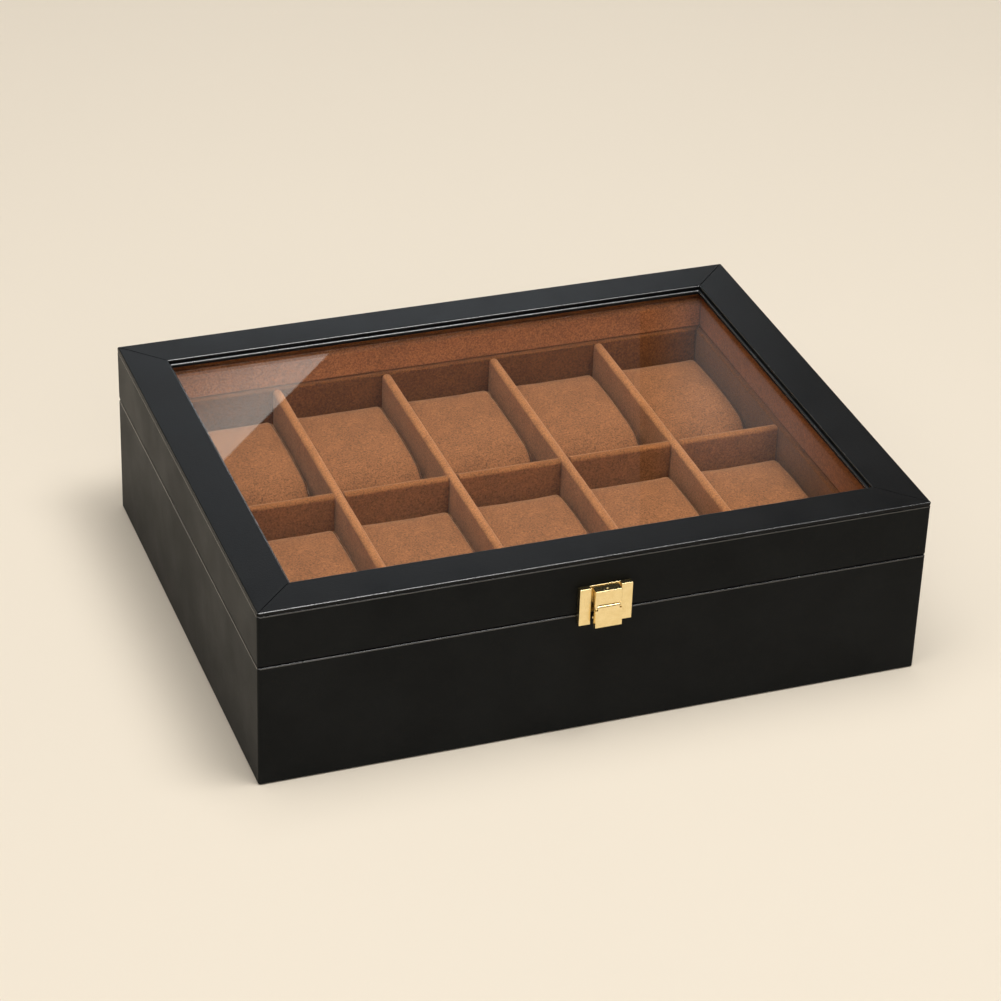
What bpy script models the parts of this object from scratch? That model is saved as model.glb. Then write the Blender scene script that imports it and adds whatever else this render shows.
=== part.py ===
"""Leatherette watch box with a glazed lid, two rows of suede compartments and a brass flip latch.

Units are metres and +Z is up. +X runs to the right along the front. The origin is the middle of the underside.
"""

import math

import bmesh
import bpy
from mathutils import Vector

# The box
BOX_WIDTH = 0.310
BOX_DEPTH = 0.240
BOX_HEIGHT = 0.088
LID_HEIGHT = 0.0275
SEAM_GAP = 0.0006
FIT_GAP = 0.0003
OVERRUN = 0.004

# The leather and the boards under it
LEATHER = 0.0010
BOARD = 0.011
BOTTOM_BOARD = 0.005
CORNER_RADIUS = 0.0012
RIM_RADIUS = 0.0006

# The lid's top frame and its window
RAIL_WIDTH = 0.0198
RAIL_HEIGHT = 0.0016
RAIL_RADIUS = 0.0008
RAIL_FOOT_RADIUS = 0.0003
WINDOW_LIP_REACH = 0.0012
WINDOW_LIP_HEIGHT = 0.0021
WINDOW_LIP_RADIUS = 0.0006
GLASS = 0.0020
GLASS_EDGE = 0.0004
BEAD_WIDTH = 0.0022
BEAD_HEIGHT = 0.0034
LINER_WIDTH = 0.0051
LINER_CHAMFER = 0.0020

# The tray
COLUMNS = 5
ROWS = 2
TRAY_WALL = 0.0075
TRAY_FLOOR = 0.0025
TRAY_RISE = 0.0025
TRAY_RADIUS = 0.0010
DIVIDER = 0.0044
DIVIDER_RADIUS = 0.0019

# The cushions
CUSHION_SIDE_GAP = 0.0010
CUSHION_BACK_GAP = 0.0020
CUSHION_FRONT_GAP = 0.0200
CUSHION_HEIGHT = 0.0400
CUSHION_CROWN = 0.0040
CUSHION_DRAW = 0.0012
CUSHION_END_INSET = 0.0022
CUSHION_SEAM_DEPTH = 0.0012
CUSHION_SEAM_SHARE = 0.90
CUSHION_LOOPS_X_SHARES = (-0.90, -0.78, 0.0, 0.78, 0.90)
CUSHION_LOOPS_Y_SHARES = (-0.60, 0.0, 0.66)
CUSHION_LOOPS_Z_SHARES = (-0.45, 0.30)

# The back hinges, whose barrels lie in a groove that also stops the lid
LID_OPENING = math.radians(100)
STOP_GAP = 0.0003
GROOVE_DEPTH = 0.0018
HINGE_PLACE_SHARE = 0.30
HINGE_WIDTH = 0.030
LEAF = 0.00115
LEAF_REACH = 0.0098
LEAF_GAP = 0.0003
PIN_RADIUS = 0.0008
PIN_PLAY = 0.00005
KNUCKLES = 5

# The latch
LATCH_WIDTH = 0.0245
CHEEK_WIDTH = 0.0053
CHEEK_DEPTH = 0.0032
CHEEK_ABOVE = 0.0143
CHEEK_BELOW = 0.0041
LATCH_PLATE = 0.0010
LATCH_PLATE_RAISE = 0.0010
LATCH_EDGE = 0.00035
BLOCK_SIDE_GAP = 0.0008
BLOCK_TOP_DROP = 0.0003
BLOCK_HEIGHT = 0.0071
BLOCK_DEPTH = 0.0048
SPLIT = 0.0003
LEVER_KNUCKLE_RADIUS = 0.0009
LEVER_PIN_RADIUS = 0.0004
LEVER_SHOULDER_DROP = 0.0002
LEVER_PROUD = 0.0005
LEVER_BACK_GAP = 0.0014
LEVER_BELOW = 0.0041
LEVER_FLARE = 0.0006
LEVER_TOE_RADIUS = 0.0006
LUG_WIDTH = 0.0009
LUG_GAP = 0.0002
HOOK_WIDTH = 0.008
HOOK_HEIGHT = 0.0010
HOOK_REACH = 0.0026
KEEPER_WIDTH = 0.0100
KEEPER_PLATE = 0.0007
KEEPER_DROP = 0.0008
KEEPER_HEIGHT = 0.0022
LEDGE_HEIGHT = 0.0008
SPRING_WIDTH = 0.005
SPRING_THICKNESS = 0.00035
RIVET_RADIUS = 0.0007
RIVET_PROUD = 0.00025
RIVET_DEPTH = 0.0050

# Facets round a barrel, a small pin, an arc and a rounded edge
BARREL_FACETS = 24
PIN_FACETS = 20
ARC_FACETS = 10
EDGE_FACETS = 3

# Two points closer than this are one
SAME_PLACE = 0.00001

# Places that several pieces share
HALF_WIDTH = BOX_WIDTH / 2
HALF_DEPTH = BOX_DEPTH / 2
SKIN = LEATHER + FIT_GAP
BOARD_OUTSIDE_X = HALF_WIDTH - SKIN
BOARD_OUTSIDE_Y = HALF_DEPTH - SKIN
BOARD_INSIDE_X = BOARD_OUTSIDE_X - BOARD
BOARD_INSIDE_Y = BOARD_OUTSIDE_Y - BOARD
LINING_X = BOARD_INSIDE_X - FIT_GAP
LINING_Y = BOARD_INSIDE_Y - FIT_GAP
TRAY_X = LINING_X - TRAY_WALL
TRAY_Y = LINING_Y - TRAY_WALL

SEAM_HEIGHT = BOX_HEIGHT - LID_HEIGHT
BASE_LOW = FIT_GAP
BASE_HIGH = SEAM_HEIGHT - SEAM_GAP / 2
LID_LOW = SEAM_HEIGHT + SEAM_GAP / 2
RAIL_LOW = BOX_HEIGHT - RAIL_HEIGHT
LID_HIGH = RAIL_LOW - FIT_GAP
WINDOW_LIP_LOW = LID_HIGH - WINDOW_LIP_HEIGHT
GLASS_HIGH = WINDOW_LIP_LOW - FIT_GAP
GLASS_LOW = GLASS_HIGH - GLASS
BEAD_HIGH = GLASS_LOW - FIT_GAP
LINER_HIGH = BEAD_HIGH - BEAD_HEIGHT - FIT_GAP
BOTTOM_LOW = BASE_LOW + SKIN
BOTTOM_HIGH = BOTTOM_LOW + BOTTOM_BOARD
TRAY_FLOOR_LOW = BOTTOM_HIGH + FIT_GAP
TRAY_LOW = TRAY_FLOOR_LOW + TRAY_FLOOR + FIT_GAP
TRAY_HIGH = SEAM_HEIGHT + TRAY_RISE
LINER_LOW = TRAY_HIGH + FIT_GAP

CELL_WIDTH = (2 * TRAY_X - (COLUMNS - 1) * DIVIDER) / COLUMNS
CELL_DEPTH = (2 * TRAY_Y - (ROWS - 1) * DIVIDER) / ROWS
PITCH_X = CELL_WIDTH + DIVIDER
PITCH_Y = CELL_DEPTH + DIVIDER

HINGE_Y = HALF_DEPTH - GROOVE_DEPTH
HINGE_X = BOX_WIDTH * HINGE_PLACE_SHARE
BARREL_RADIUS = GROOVE_DEPTH

FRONT = -HALF_DEPTH
LATCH_BACK = FRONT - FIT_GAP
CHEEK_FRONT = LATCH_BACK - CHEEK_DEPTH
CHEEK_TOP = SEAM_HEIGHT + CHEEK_ABOVE
CHEEK_FOOT = SEAM_HEIGHT - CHEEK_BELOW
CHANNEL = LATCH_WIDTH / 2 - CHEEK_WIDTH
PLATE_FRONT = LATCH_BACK - LATCH_PLATE
BLOCK_HALF = CHANNEL - BLOCK_SIDE_GAP
BLOCK_BACK = PLATE_FRONT - FIT_GAP
BLOCK_FRONT = BLOCK_BACK - BLOCK_DEPTH
BLOCK_TOP = CHEEK_TOP - BLOCK_TOP_DROP
BLOCK_LOW = BLOCK_TOP - BLOCK_HEIGHT
LEVER_FRONT = BLOCK_FRONT - LEVER_PROUD
LEVER_BACK = CHEEK_FRONT - LEVER_BACK_GAP
PIVOT_Y = LEVER_FRONT + LEVER_KNUCKLE_RADIUS
PIVOT_Z = BLOCK_LOW - SPLIT - LEVER_KNUCKLE_RADIUS
LEVER_SHOULDER = PIVOT_Z - LEVER_KNUCKLE_RADIUS - LEVER_SHOULDER_DROP
LEVER_FOOT = SEAM_HEIGHT - LEVER_BELOW
HOOK_TIP = LEVER_BACK + HOOK_REACH

# Colours as red, green and blue
BLACK_LEATHER = (0.018, 0.018, 0.019)
TAN_SUEDE = (0.36, 0.17, 0.075)
RAW_BOARD = (0.42, 0.29, 0.17)
BLACK_FELT = (0.02, 0.02, 0.022)
BRASS = (0.87, 0.64, 0.30)
STEEL = (0.55, 0.55, 0.56)
CLEAR_GLASS = (0.92, 0.96, 0.95)


def clear_scene():
    for thing in list(bpy.data.objects):
        bpy.data.objects.remove(thing, do_unlink=True)


def make_collection(name):
    collection = bpy.data.collections.new(name)
    bpy.context.scene.collection.children.link(collection)
    return collection


def make_material(name, colour, roughness, metallic=0.0, transmission=0.0):
    material = bpy.data.materials.new(name)
    material.use_nodes = True
    shader = material.node_tree.nodes["Principled BSDF"]
    shader.inputs["Base Color"].default_value = (*colour, 1.0)
    shader.inputs["Roughness"].default_value = roughness
    shader.inputs["Metallic"].default_value = metallic
    shader.inputs["Transmission Weight"].default_value = transmission
    return material


def add_object(name, shape, place, material=None, cutter=False):
    mesh = bpy.data.meshes.new(name)
    shape.to_mesh(mesh)
    shape.free()
    thing = bpy.data.objects.new(name, mesh)
    thing.location = place
    if cutter:
        thing.hide_render = True
        thing.display_type = "WIRE"
        CUTTERS.objects.link(thing)
    else:
        mesh.materials.append(material)
        PARTS.objects.link(thing)
    return thing


def add_box(name, low, high, material=None, cutter=False):
    """A block between two corners, with its origin in its middle."""
    size = Vector(high) - Vector(low)
    shape = bmesh.new()
    bmesh.ops.create_cube(shape, size=1)
    bmesh.ops.scale(shape, vec=size, verts=shape.verts)
    return add_object(name, shape, (Vector(low) + Vector(high)) / 2, material, cutter)


def add_rod(name, centre, radius, length, turn, facets, material=None, cutter=False):
    """A cylinder along Z that the Euler angles in turn lay down."""
    shape = bmesh.new()
    bmesh.ops.create_cone(
        shape, cap_ends=True, segments=facets, radius1=radius, radius2=radius, depth=length
    )
    rod = add_object(name, shape, centre, material, cutter)
    rod.rotation_euler = turn
    rod.data.shade_smooth()
    rod.data.set_sharp_from_angle(angle=math.radians(40))
    return rod


ALONG_X = (0, math.radians(90), 0)
UPRIGHT = (0, 0, 0)


def add_outline(name, outline, width, material=None, cutter=False):
    """A flat outline of (y, z) points, given in world places, filled and made as thick as width along X."""
    centre_y = sum(y for y, z in outline) / len(outline)
    centre_z = sum(z for y, z in outline) / len(outline)
    drawing = bpy.data.curves.new(name, "CURVE")
    drawing.dimensions = "2D"
    drawing.fill_mode = "BOTH"
    drawing.extrude = width / 2
    drawing.render_resolution_u = 0
    line = drawing.splines.new("POLY")
    line.points.add(len(outline) - 1)
    line.use_cyclic_u = True
    for point, (y, z) in zip(line.points, outline):
        point.co = (y - centre_y, z - centre_z, 0, 1)
    guide = bpy.data.objects.new(name, drawing)
    CUTTERS.objects.link(guide)
    # The drawing lies in XY, so this turn brings its x to world Y and its y to world Z.
    guide.rotation_euler = (math.radians(90), 0, math.radians(90))
    guide.location = (0, centre_y, centre_z)
    bpy.context.view_layer.update()
    solid = bpy.data.meshes.new_from_object(guide.evaluated_get(bpy.context.evaluated_depsgraph_get()))
    place = guide.matrix_world.copy()
    bpy.data.objects.remove(guide, do_unlink=True)
    shape = bmesh.new()
    shape.from_mesh(solid)
    bmesh.ops.remove_doubles(shape, verts=shape.verts, dist=SAME_PLACE)
    bmesh.ops.recalc_face_normals(shape, faces=shape.faces)
    thing = add_object(name, shape, (0, 0, 0), material, cutter)
    thing.matrix_world = place
    return thing


def combine(thing, operation, others):
    for other in others:
        step = thing.modifiers.new(other.name, "BOOLEAN")
        step.operation = operation
        step.solver = "EXACT"
        step.object = other


def cut(thing, *cutters):
    combine(thing, "DIFFERENCE", cutters)


def join(thing, *additions):
    combine(thing, "UNION", additions)


def round_edges(thing, radius, weight_of, facets=EDGE_FACETS):
    """Rounds the edges to which weight_of, given an edge's two ends, gives more than nothing."""
    shape = bmesh.new()
    shape.from_mesh(thing.data)
    layer = shape.edges.layers.float.new("bevel_weight_edge")
    for edge in shape.edges:
        edge[layer] = weight_of(edge.verts[0].co, edge.verts[1].co)
    shape.to_mesh(thing.data)
    shape.free()
    step = thing.modifiers.new("rounded edges", "BEVEL")
    step.limit_method = "WEIGHT"
    step.width = radius
    step.segments = facets


def round_all(thing, radius, facets=EDGE_FACETS):
    step = thing.modifiers.new("rounded edges", "BEVEL")
    step.limit_method = "ANGLE"
    step.width = radius
    step.segments = facets


def attach(pieces, pivot):
    """Hangs pieces on an empty that isn't turned, and leaves them where they are."""
    bpy.context.view_layer.update()
    for piece in pieces:
        piece.parent = pivot
        piece.matrix_parent_inverse = pivot.matrix_world.inverted()


def add_pivot(name, place):
    pivot = bpy.data.objects.new(name, None)
    pivot.location = place
    PARTS.objects.link(pivot)
    return pivot


def long_edges(*wanted):
    """Picks a bar's long edges by side, each as a pair of signs for its local y and z."""

    def weight(a, b):
        along_x = abs(a.y - b.y) < SAME_PLACE and abs(a.z - b.z) < SAME_PLACE
        side = (1 if a.y > 0 else -1, 1 if a.z > 0 else -1)
        return 1.0 if along_x and side in wanted else 0.0

    return weight


def upright_edges(share):
    """Rounds upright edges in full and all others by a share of it."""

    def weight(a, b):
        upright = abs(a.x - b.x) < SAME_PLACE and abs(a.y - b.y) < SAME_PLACE
        return 1.0 if upright else share

    return weight


OUTER, INNER, TOP, FOOT = -1, 1, 1, -1


def add_mitred_bar(name, run, width, height, place, turn, material):
    """A bar whose outer face is -Y and whose ends are mitred towards +Y."""
    shape = bmesh.new()
    bmesh.ops.create_cube(shape, size=1)
    bmesh.ops.scale(shape, vec=(run, width, height), verts=shape.verts)
    for corner in shape.verts:
        inward = FIT_GAP / math.sqrt(2) + (width if corner.co.y > 0 else 0)
        corner.co.x -= math.copysign(inward, corner.co.x)
    bar = add_object(name, shape, place, material)
    bar.rotation_euler = (0, 0, turn)
    return bar


def add_mitred_frame(name, half_x, half_y, width, low, high, material):
    """Four mitred bars round the box, by side."""
    middle = (low + high) / 2
    height = high - low
    x = half_x - width / 2
    y = half_y - width / 2
    plan = {
        "front": (2 * half_x, (0, -y, middle), 0),
        "right": (2 * half_y, (x, 0, middle), math.pi / 2),
        "back": (2 * half_x, (0, y, middle), math.pi),
        "left": (2 * half_y, (-x, 0, middle), -math.pi / 2),
    }
    return {
        side: add_mitred_bar(f"{name}_{side}", run, width, height, place, turn, material)
        for side, (run, place, turn) in plan.items()
    }


def add_groove(name, inset):
    """The wedge behind the hinge line that leaves the chamfers on which the open lid stops."""
    half = LID_OPENING / 2
    reach = GROOVE_DEPTH + inset + OVERRUN
    apex = HINGE_Y - inset / math.sin(half)
    far = apex + reach + inset / math.sin(half)
    spread = (far - apex) * math.tan(half)
    outline = [(apex, SEAM_HEIGHT), (far, SEAM_HEIGHT - spread), (far, SEAM_HEIGHT + spread)]
    return add_outline(name, outline, BOX_WIDTH + 2 * OVERRUN, cutter=True)


def add_leather_wrap(name, low, high, groove):
    """Leather round the boards, turned in over their upper and lower edges."""
    corner = (HALF_WIDTH, HALF_DEPTH, high)
    wrap = add_box(name, (-HALF_WIDTH, -HALF_DEPTH, low), corner, BLACK_LEATHER_MATERIAL)
    round_edges(wrap, CORNER_RADIUS, upright_edges(RIM_RADIUS / CORNER_RADIUS))
    void_x = HALF_WIDTH - LEATHER
    void_y = HALF_DEPTH - LEATHER
    hollow = add_box(
        f"{name}_hollow",
        (-void_x, -void_y, low + LEATHER),
        (void_x, void_y, high - LEATHER),
        cutter=True,
    )
    opening = add_box(
        f"{name}_opening",
        (-BOARD_INSIDE_X, -BOARD_INSIDE_Y, low - OVERRUN),
        (BOARD_INSIDE_X, BOARD_INSIDE_Y, high + OVERRUN),
        cutter=True,
    )
    cut(wrap, hollow, opening, groove)
    return wrap


def add_board_frame(name, low, high, groove, pockets):
    """The four mitred boards under the leather, the back one cleared for the groove and the barrels."""
    boards = add_mitred_frame(name, BOARD_OUTSIDE_X, BOARD_OUTSIDE_Y, BOARD, low, high, RAW_BOARD_MATERIAL)
    cut(boards["back"], groove, *pockets)
    return boards


def hinge_places():
    return {"left": -HINGE_X, "right": HINGE_X}


def add_hinge_pockets():
    """Cutters for the two barrels, with room round them."""
    return [
        add_rod(
            f"barrel_pocket_{side}",
            (x, HINGE_Y, SEAM_HEIGHT),
            BARREL_RADIUS + FIT_GAP,
            HINGE_WIDTH + 2 * FIT_GAP,
            ALONG_X,
            BARREL_FACETS,
            cutter=True,
        )
        for side, x in hinge_places().items()
    ]


def add_mortises(name, direction):
    """Cutters for the leaves in the leather's turned-in edge, below the seam at -1 or above it at +1."""
    near = SEAM_HEIGHT - direction * OVERRUN
    far = SEAM_HEIGHT + direction * (LEAF_GAP / 2 + LEAF + FIT_GAP)
    reach = LEAF_REACH + FIT_GAP
    side_room = HINGE_WIDTH / 2 + FIT_GAP
    return [
        add_box(
            f"{name}_{side}",
            (x - side_room, HINGE_Y - reach, min(near, far)),
            (x + side_room, HINGE_Y, max(near, far)),
            cutter=True,
        )
        for side, x in hinge_places().items()
    ]


def add_hinge_leaf(name, x, direction, own_first):
    """One leaf with its share of the barrel: below the seam at -1, above it at +1."""
    near = SEAM_HEIGHT + direction * LEAF_GAP / 2
    far = near + direction * LEAF
    leaf = add_box(
        name,
        (x - HINGE_WIDTH / 2, HINGE_Y - LEAF_REACH, min(near, far)),
        (x + HINGE_WIDTH / 2, HINGE_Y, max(near, far)),
        BRASS_MATERIAL,
    )
    barrel_centre = (x, HINGE_Y, SEAM_HEIGHT)
    barrel = add_rod(
        f"{name}_barrel", barrel_centre, BARREL_RADIUS, HINGE_WIDTH, ALONG_X, BARREL_FACETS, cutter=True
    )
    bore = add_rod(
        f"{name}_bore",
        barrel_centre,
        PIN_RADIUS + PIN_PLAY,
        HINGE_WIDTH + 2 * OVERRUN,
        ALONG_X,
        BARREL_FACETS,
        cutter=True,
    )
    join(leaf, barrel)
    cut(leaf, bore)
    pitch = HINGE_WIDTH / KNUCKLES
    room = BARREL_RADIUS + FIT_GAP
    for number in range(KNUCKLES):
        if (number % 2 == 0) == own_first:
            continue
        start = x - HINGE_WIDTH / 2 + number * pitch
        # An end knuckle's notch runs on past the leaf, so that it leaves no sliver there.
        low = start - (OVERRUN if number == 0 else FIT_GAP / 2)
        high = start + pitch + (OVERRUN if number == KNUCKLES - 1 else FIT_GAP / 2)
        notch = add_box(
            f"{name}_notch_{number}",
            (low, HINGE_Y - room, SEAM_HEIGHT - room),
            (high, HINGE_Y + room, SEAM_HEIGHT + room),
            cutter=True,
        )
        cut(leaf, notch)
    return leaf


def add_hinges():
    """The two butt hinges: what stays on the base, and what moves with the lid."""
    moving = []
    for side, x in hinge_places().items():
        add_hinge_leaf(f"hinge_{side}_base_leaf", x, -1, own_first=True)
        moving.append(add_hinge_leaf(f"hinge_{side}_lid_leaf", x, 1, own_first=False))
        add_rod(
            f"hinge_{side}_pin",
            (x, HINGE_Y, SEAM_HEIGHT),
            PIN_RADIUS,
            HINGE_WIDTH,
            ALONG_X,
            PIN_FACETS,
            STEEL_MATERIAL,
        )
    return moving


def add_base(pockets, leather_groove, board_groove):
    """The base: four boards, a bottom, the leather and the felt underneath."""
    add_board_frame("base_board", BOTTOM_LOW, BASE_HIGH - SKIN, board_groove, pockets)
    wrap = add_leather_wrap("base_leather_wrap", BASE_LOW, BASE_HIGH, leather_groove)
    cut(wrap, *pockets, *add_mortises("base_mortise", -1))
    add_box(
        "base_bottom_board",
        (-LINING_X, -LINING_Y, BOTTOM_LOW),
        (LINING_X, LINING_Y, BOTTOM_HIGH),
        RAW_BOARD_MATERIAL,
    )
    add_box(
        "underside_felt",
        (-LINING_X, -LINING_Y, 0),
        (LINING_X, LINING_Y, BOTTOM_LOW - FIT_GAP),
        BLACK_FELT_MATERIAL,
    )


def add_tray_shell():
    """The suede-covered floor and the four mitred walls that stand on it."""
    add_box(
        "tray_floor",
        (-LINING_X, -LINING_Y, TRAY_FLOOR_LOW),
        (LINING_X, LINING_Y, TRAY_FLOOR_LOW + TRAY_FLOOR),
        TAN_SUEDE_MATERIAL,
    )
    walls = add_mitred_frame(
        "tray_wall", LINING_X, LINING_Y, TRAY_WALL, TRAY_LOW, TRAY_HIGH, TAN_SUEDE_MATERIAL
    )
    for wall in walls.values():
        round_edges(wall, TRAY_RADIUS, long_edges((INNER, TOP), (OUTER, TOP)))


def divider_places():
    first = -(COLUMNS - 2) / 2
    return [(first + number) * PITCH_X for number in range(COLUMNS - 1)]


def add_dividers():
    """One long divider and the cross dividers, halved into each other where they meet."""
    middle = (TRAY_LOW + TRAY_HIGH) / 2
    half = DIVIDER / 2
    slot = half + FIT_GAP
    end_x = TRAY_X - FIT_GAP
    end_y = TRAY_Y - FIT_GAP
    long_divider = add_box(
        "tray_long_divider", (-end_x, -half, TRAY_LOW), (end_x, half, TRAY_HIGH), TAN_SUEDE_MATERIAL
    )
    round_edges(long_divider, DIVIDER_RADIUS, long_edges((INNER, TOP), (OUTER, TOP)))
    lower_slot = add_box(
        "cross_divider_slot",
        (-BOX_WIDTH, -slot, TRAY_LOW - OVERRUN),
        (BOX_WIDTH, slot, middle + FIT_GAP / 2),
        cutter=True,
    )
    for number, x in enumerate(divider_places(), start=1):
        upper_slot = add_box(
            f"long_divider_slot_{number}",
            (x - slot, -DIVIDER, middle - FIT_GAP / 2),
            (x + slot, DIVIDER, TRAY_HIGH + OVERRUN),
            cutter=True,
        )
        cut(long_divider, upper_slot)
        cross = add_cross_divider(f"tray_cross_divider_{number}", x, end_y)
        cut(cross, lower_slot)


def add_cross_divider(name, x, end_y):
    """A bar with rounded upper edges, turned to run front to back."""
    shape = bmesh.new()
    bmesh.ops.create_cube(shape, size=1)
    height = TRAY_HIGH - TRAY_LOW
    bmesh.ops.scale(shape, vec=(2 * end_y, DIVIDER, height), verts=shape.verts)
    bar = add_object(name, shape, (x, 0, TRAY_LOW + height / 2), TAN_SUEDE_MATERIAL)
    bar.rotation_euler = (0, 0, math.pi / 2)
    round_edges(bar, DIVIDER_RADIUS, long_edges((INNER, TOP), (OUTER, TOP)))
    return bar


def make_cushion_mesh():
    """A stuffed watch pillow: a crowned top, sides drawn in between the corners and a flat underside."""
    half_x = CELL_WIDTH / 2 - CUSHION_SIDE_GAP
    half_y = (CELL_DEPTH - CUSHION_BACK_GAP - CUSHION_FRONT_GAP) / 2
    half_z = CUSHION_HEIGHT / 2
    shape = bmesh.new()
    bmesh.ops.create_cube(shape, size=2)
    bmesh.ops.scale(shape, vec=(half_x, half_y, half_z), verts=shape.verts)
    plan = (
        (Vector((1, 0, 0)), half_x, CUSHION_LOOPS_X_SHARES),
        (Vector((0, 1, 0)), half_y, CUSHION_LOOPS_Y_SHARES),
        (Vector((0, 0, 1)), half_z, CUSHION_LOOPS_Z_SHARES),
    )
    for normal, half, shares in plan:
        for share in shares:
            geometry = shape.verts[:] + shape.edges[:] + shape.faces[:]
            bmesh.ops.bisect_plane(shape, geom=geometry, plane_co=normal * half * share, plane_no=normal)
    for corner in shape.verts:
        u, v, w = corner.co.x / half_x, corner.co.y / half_y, corner.co.z / half_z
        corner.co.x -= CUSHION_DRAW * u * (1 - v * v) * (1 - w * w)
        corner.co.y -= CUSHION_DRAW * v * (1 - u * u) * (1 - w * w)
        if w > 0:
            corner.co.z += CUSHION_CROWN * w * (1 - u * u) * (1 - v * v)
        pull = cushion_pull(abs(u))
        corner.co.y -= pull * v
        corner.co.z += half_z - pull * w
    mesh = bpy.data.meshes.new("watch_cushion")
    shape.to_mesh(mesh)
    shape.free()
    mesh.materials.append(TAN_SUEDE_MATERIAL)
    mesh.shade_smooth()
    return mesh


def cushion_pull(share):
    """How far the cover is pulled in at the seam and at the end panel, by its share of the way to an end."""
    if share > (1 + CUSHION_SEAM_SHARE) / 2:
        return CUSHION_END_INSET
    if abs(share - CUSHION_SEAM_SHARE) < (1 - CUSHION_SEAM_SHARE) / 2:
        return CUSHION_SEAM_DEPTH
    return 0


def add_cushions():
    """One cushion in each compartment, near its back wall, numbered from the front left."""
    mesh = make_cushion_mesh()
    number = 0
    for row in range(ROWS):
        for column in range(COLUMNS):
            number += 1
            x = (column - (COLUMNS - 1) / 2) * PITCH_X
            cell_y = (row - (ROWS - 1) / 2) * PITCH_Y
            y = cell_y + (CUSHION_FRONT_GAP - CUSHION_BACK_GAP) / 2
            cushion = bpy.data.objects.new(f"watch_cushion_{number}", mesh)
            cushion.location = (x, y, TRAY_LOW)
            PARTS.objects.link(cushion)
            soft = cushion.modifiers.new("stuffing", "SUBSURF")
            soft.levels = 1
            soft.render_levels = 1


def add_rails():
    """The four mitred leather rails on top, whose outer corners are rounded like the leather's below."""
    rails = add_mitred_frame(
        "lid_rail", HALF_WIDTH, HALF_DEPTH, RAIL_WIDTH, RAIL_LOW, BOX_HEIGHT, BLACK_LEATHER_MATERIAL
    )
    limit = add_box(
        "rail_corners",
        (-HALF_WIDTH, -HALF_DEPTH, RAIL_LOW - OVERRUN),
        (HALF_WIDTH, HALF_DEPTH, BOX_HEIGHT + OVERRUN),
        cutter=True,
    )
    round_edges(limit, CORNER_RADIUS, upright_edges(0))
    top = long_edges((INNER, TOP), (OUTER, TOP))
    foot = long_edges((INNER, FOOT), (OUTER, FOOT))
    for rail in rails.values():
        round_edges(rail, RAIL_RADIUS, lambda a, b: top(a, b) + foot(a, b) * RAIL_FOOT_RADIUS / RAIL_RADIUS)
        combine(rail, "INTERSECT", [limit])
    return list(rails.values())


def add_window_lip():
    """The leather-covered ring under the rails that shows as a second edge round the window."""
    lip = add_box(
        "window_lip", (-LINING_X, -LINING_Y, WINDOW_LIP_LOW), (LINING_X, LINING_Y, LID_HIGH), BLACK_LEATHER_MATERIAL
    )
    inset = RAIL_WIDTH + WINDOW_LIP_REACH
    window = add_box(
        "window",
        (-HALF_WIDTH + inset, -HALF_DEPTH + inset, WINDOW_LIP_LOW - OVERRUN),
        (HALF_WIDTH - inset, HALF_DEPTH - inset, LID_HIGH + OVERRUN),
        cutter=True,
    )
    cut(lip, window)
    round_all(lip, WINDOW_LIP_RADIUS)
    return lip


def add_lid(pockets, leather_groove, board_groove):
    """The lid: four boards, the leather, the rails, the lip, the glass and what holds it."""
    boards = add_board_frame("lid_board", LID_LOW + SKIN, LID_HIGH - SKIN, board_groove, pockets)
    pieces = list(boards.values())
    wrap = add_leather_wrap("lid_leather_wrap", LID_LOW, LID_HIGH, leather_groove)
    cut(wrap, *pockets, *add_mortises("lid_mortise", 1))
    pieces.append(wrap)
    pieces.extend(add_rails())
    pieces.append(add_window_lip())
    glass = add_box(
        "glass_pane", (-LINING_X, -LINING_Y, GLASS_LOW), (LINING_X, LINING_Y, GLASS_HIGH), GLASS_MATERIAL
    )
    round_all(glass, GLASS_EDGE, facets=1)
    pieces.append(glass)
    beads = add_mitred_frame(
        "glass_bead", LINING_X, LINING_Y, BEAD_WIDTH, BEAD_HIGH - BEAD_HEIGHT, BEAD_HIGH, TAN_SUEDE_MATERIAL
    )
    pieces.extend(beads.values())
    liners = add_mitred_frame(
        "lid_liner", LINING_X, LINING_Y, LINER_WIDTH, LINER_LOW, LINER_HIGH, TAN_SUEDE_MATERIAL
    )
    for liner in liners.values():
        round_edges(liner, LINER_CHAMFER, long_edges((INNER, TOP)), facets=1)
    pieces.extend(liners.values())
    return pieces


def add_latch_housing():
    """The fixed part on the lid: a plate with a cheek at each side, cut from one block."""
    half = LATCH_WIDTH / 2
    housing = add_box(
        "latch_housing", (-half, CHEEK_FRONT, CHEEK_FOOT), (half, LATCH_BACK, CHEEK_TOP), BRASS_MATERIAL
    )
    round_all(housing, LATCH_EDGE)
    channel = add_box(
        "latch_channel",
        (-CHANNEL, CHEEK_FRONT - OVERRUN, CHEEK_FOOT - OVERRUN),
        (CHANNEL, PLATE_FRONT, CHEEK_TOP + OVERRUN),
        cutter=True,
    )
    gateway = add_box(
        "latch_gateway",
        (-CHANNEL, CHEEK_FRONT - OVERRUN, CHEEK_FOOT - OVERRUN),
        (CHANNEL, LATCH_BACK + OVERRUN, SEAM_HEIGHT + LATCH_PLATE_RAISE),
        cutter=True,
    )
    cut(housing, channel, gateway)
    return housing


def arc(centre, radius, start, end):
    """Points on an arc in the YZ plane, angles in degrees from +Y towards +Z."""
    points = []
    for step in range(ARC_FACETS + 1):
        angle = math.radians(start + (end - start) * step / ARC_FACETS)
        points.append((centre[0] + radius * math.cos(angle), centre[1] + radius * math.sin(angle)))
    return points


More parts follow.
